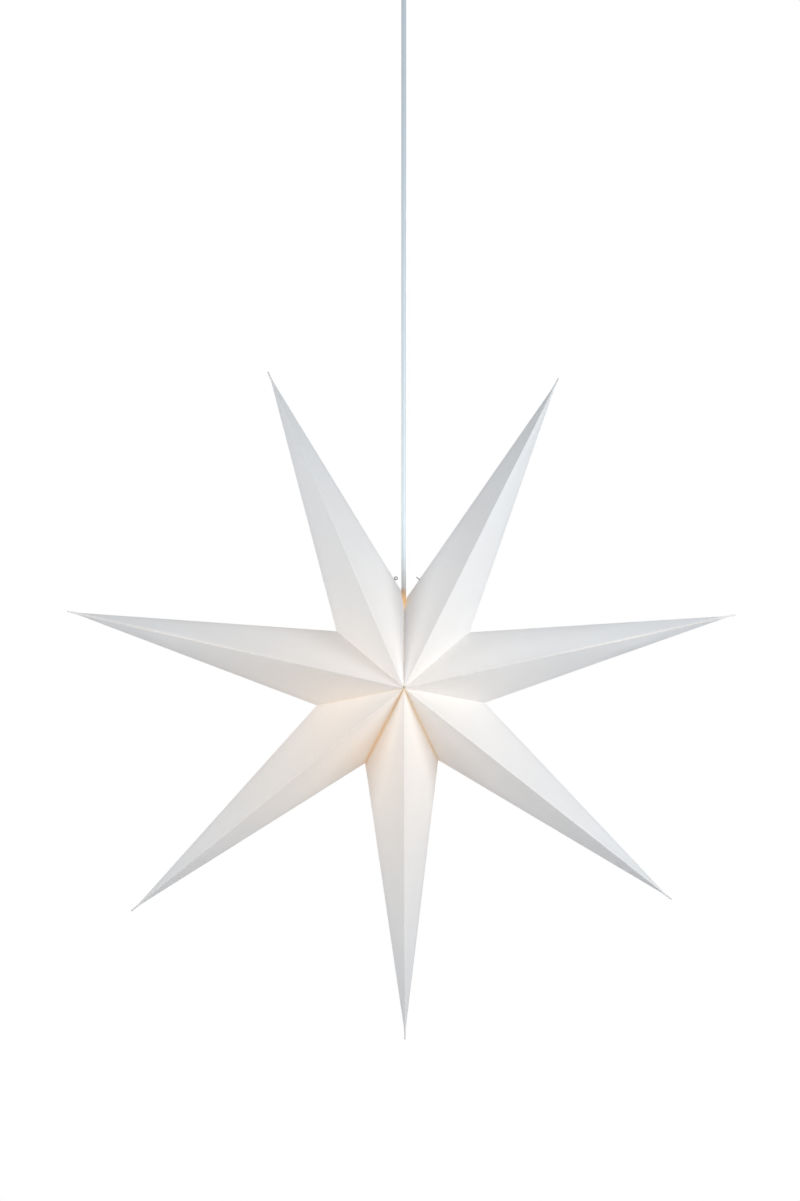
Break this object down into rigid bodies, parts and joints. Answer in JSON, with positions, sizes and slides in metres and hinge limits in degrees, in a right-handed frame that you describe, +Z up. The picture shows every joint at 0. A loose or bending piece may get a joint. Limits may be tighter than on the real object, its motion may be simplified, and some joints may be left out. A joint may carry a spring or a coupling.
{
  "type": "paper star pendant lamp",
  "caption": "Hanging paper star lantern with long folded points round a bulb and lampholder, on a straight round cord from a ceiling cup with a slotted bracket.",
  "frame": {"origin": "middle of the ceiling bracket's slots, in the plane that lies against the ceiling", "axes": "+Z up out of the ceiling face, -Y towards the star's front as pictured, +X to the right in the picture"},
  "size_m": [0.7263, 0.1994, 1.2225],
  "materials": {
    "star_paper": "matte translucent white paper, lit from inside",
    "cord_jacket": "smooth pale grey PVC",
    "white_plastic": "satin moulded",
    "bracket_steel": "zinc plated",
    "screw_steel": "plated",
    "hanger_steel": "drawn spring wire",
    "contact_brass": "pressed",
    "live_core": "brown insulation",
    "neutral_core": "blue insulation",
    "socket_ceramic": "white steatite",
    "bulb_metal": "rolled thread",
    "bulb_solder": "solder button",
    "bulb_seal": "black fused glass",
    "bulb_glass": "clear",
    "bulb_filament": "glowing"
  },
  "bodies": {
    "ceiling_fitting": {"ceiling_bracket": "bracket_steel", "ceiling_canopy": "white_plastic", "canopy_screws": "screw_steel", "cord_gland": "white_plastic", "gland_nut": "white_plastic", "gland_grip": "white_plastic", "terminal_block": "white_plastic", "terminal_clamps": "contact_brass", "terminal_screws": "screw_steel", "cord_in_canopy": "cord_jacket", "upper_live_core": "live_core", "upper_neutral_core": "neutral_core"},
    "cord_bend": {"cord_bend": "cord_jacket"},
    "bend_sleeve": {"bend_sleeve": "white_plastic"},
    "pendant": {"cord": "cord_jacket", "holder_cap": "white_plastic", "cord_grip": "white_plastic", "cord_grip_screw": "white_plastic", "holder_body": "white_plastic", "holder_insert": "socket_ceramic", "holder_socket": "contact_brass", "holder_contact": "contact_brass", "holder_terminals": "contact_brass", "holder_terminal_screws": "screw_steel", "lower_live_core": "live_core", "lower_neutral_core": "neutral_core", "hanger_wire": "hanger_steel", "seam_clips": "white_plastic", "star_point_1": "star_paper", "star_point_2": "star_paper", "star_point_3": "star_paper", "star_point_4": "star_paper", "star_point_5": "star_paper", "star_point_6": "star_paper", "star_point_7": "star_paper"},
    "bulb_centre": {"bulb_contact": "bulb_solder"},
    "bulb": {"bulb_insulator": "bulb_seal", "bulb_cap": "bulb_metal", "bulb_globe": "bulb_glass", "bulb_stem": "bulb_glass", "bulb_filaments": "bulb_filament"}
  },
  "joints": [
    {"name": "swing_fore_aft", "type": "hinge", "parent": "ceiling_fitting", "child": "cord_bend", "pos_m": [0, 0, -0.07], "axis": [1, 0, 0], "range_deg": [-20, 20]},
    {"name": "swing_side", "type": "hinge", "parent": "cord_bend", "child": "bend_sleeve", "pos_m": [0, 0, -0.07], "axis": [0, 1, 0], "range_deg": [-20, 20]},
    {"name": "turn", "type": "hinge", "parent": "bend_sleeve", "child": "pendant", "pos_m": [0, 0, -0.08], "axis": [0, 0, 1], "range_deg": [-180, 180]},
    {"name": "bulb_travel", "type": "slide", "parent": "pendant", "child": "bulb_centre", "axis": [0, 0, 1], "range_m": [-0.0099, 0]},
    {"name": "bulb_turn", "type": "hinge", "parent": "bulb_centre", "child": "bulb", "pos_m": [0, 0, -0.82], "axis": [0, 0, 1], "range_deg": [-1260, 0]}
  ],
  "couplings": [
    {"joint": "bulb_travel", "follows": "bulb_turn", "m_per_rad": 0.00044914}
  ]
}
